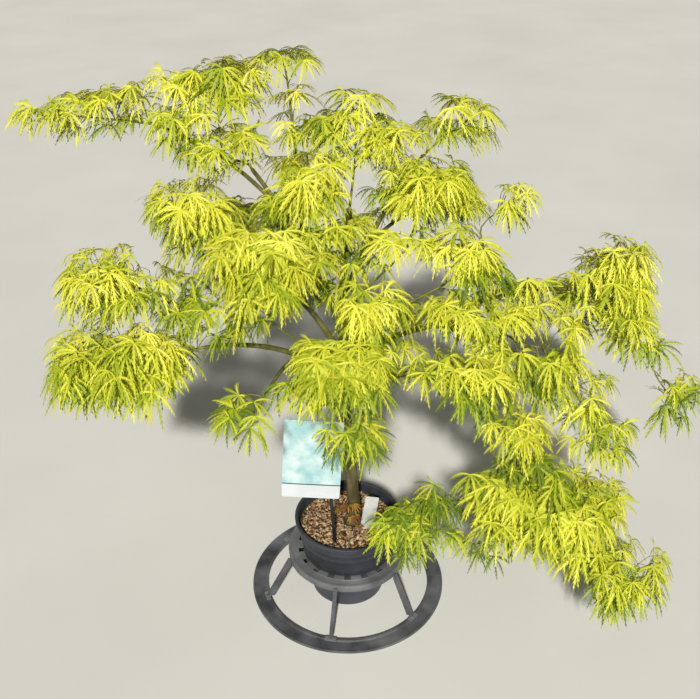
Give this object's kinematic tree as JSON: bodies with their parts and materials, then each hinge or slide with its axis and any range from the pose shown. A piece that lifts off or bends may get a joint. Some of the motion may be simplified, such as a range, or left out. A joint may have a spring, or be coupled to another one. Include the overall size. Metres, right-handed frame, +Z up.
{
  "type": "potted japanese maple",
  "caption": "Laceleaf maple with lime-yellow foliage in a dark plastic nursery pot, standing in a plastic ring stand, with a blank label card and plant tag.",
  "frame": {"origin": "centre of the pot's flat underside, on the surface that the plant stands on", "axes": "+Z up along the pot's axis, +X the plant's right as pictured, -Y its front"},
  "size_m": [1.3597, 0.7603, 1.1243],
  "materials": {
    "pot_plastic": "moulded dark blue-grey plastic, slightly dusty",
    "stand_plastic": "weathered charcoal plastic",
    "mulch": "loose pale bark chips",
    "bark": "smooth olive-brown young bark",
    "foliage": "satin leaf",
    "bronze_foliage": "satin leaf",
    "label_card": "smooth printed plastic card, bare of text",
    "tag": "white plastic tag",
    "label_stick": "slim black plastic stick"
  },
  "bodies": {
    "root": {"pot": "pot_plastic", "soil": "mulch", "stand_collar": "stand_plastic", "stand_base_ring": "stand_plastic", "stand_leg_1": "stand_plastic", "stand_leg_2": "stand_plastic", "stand_leg_3": "stand_plastic", "stand_leg_4": "stand_plastic", "stand_leg_5": "stand_plastic", "stand_leg_6": "stand_plastic", "label_card": "label_card", "label_stick": "label_stick", "plant_tag": "tag", "trunk": "bark", "bough_back_left": "bark", "bough_left_arm": "bark", "bough_back_top": "bark", "bough_back_right": "bark", "bough_back_low": "bark", "bough_left": "bark", "bough_left_middle": "bark", "bough_left_rear": "bark", "bough_left_front": "bark", "bough_front_left": "bark", "bough_front": "bark", "bough_right": "bark", "bough_right_back": "bark", "bough_right_outer": "bark", "bough_right_rear": "bark", "bough_right_front": "bark", "bough_low_right": "bark", "bough_low_tip": "bark", "bough_low_small": "bark", "foliage_left_arm": "foliage", "foliage_back_left": "foliage", "foliage_back_top": "foliage", "foliage_centre_top": "foliage", "foliage_back_right": "foliage", "foliage_back_low": "foliage", "foliage_left_dome": "foliage", "foliage_centre_left": "foliage", "foliage_centre_right": "foliage", "foliage_right_centre": "foliage", "foliage_centre": "foliage", "foliage_inner": "foliage", "foliage_left_middle": "foliage", "foliage_left_rear": "foliage", "foliage_left_front": "foliage", "foliage_front_left": "foliage", "foliage_front": "foliage", "foliage_right_middle": "foliage", "foliage_right_back": "foliage", "foliage_right_outer": "foliage", "foliage_right_rear": "foliage", "foliage_right_front": "foliage", "foliage_low_right": "foliage", "foliage_low_tip": "foliage", "foliage_low_small": "foliage", "foliage_low_shoot": "bronze_foliage"}
  },
  "joints": []
}
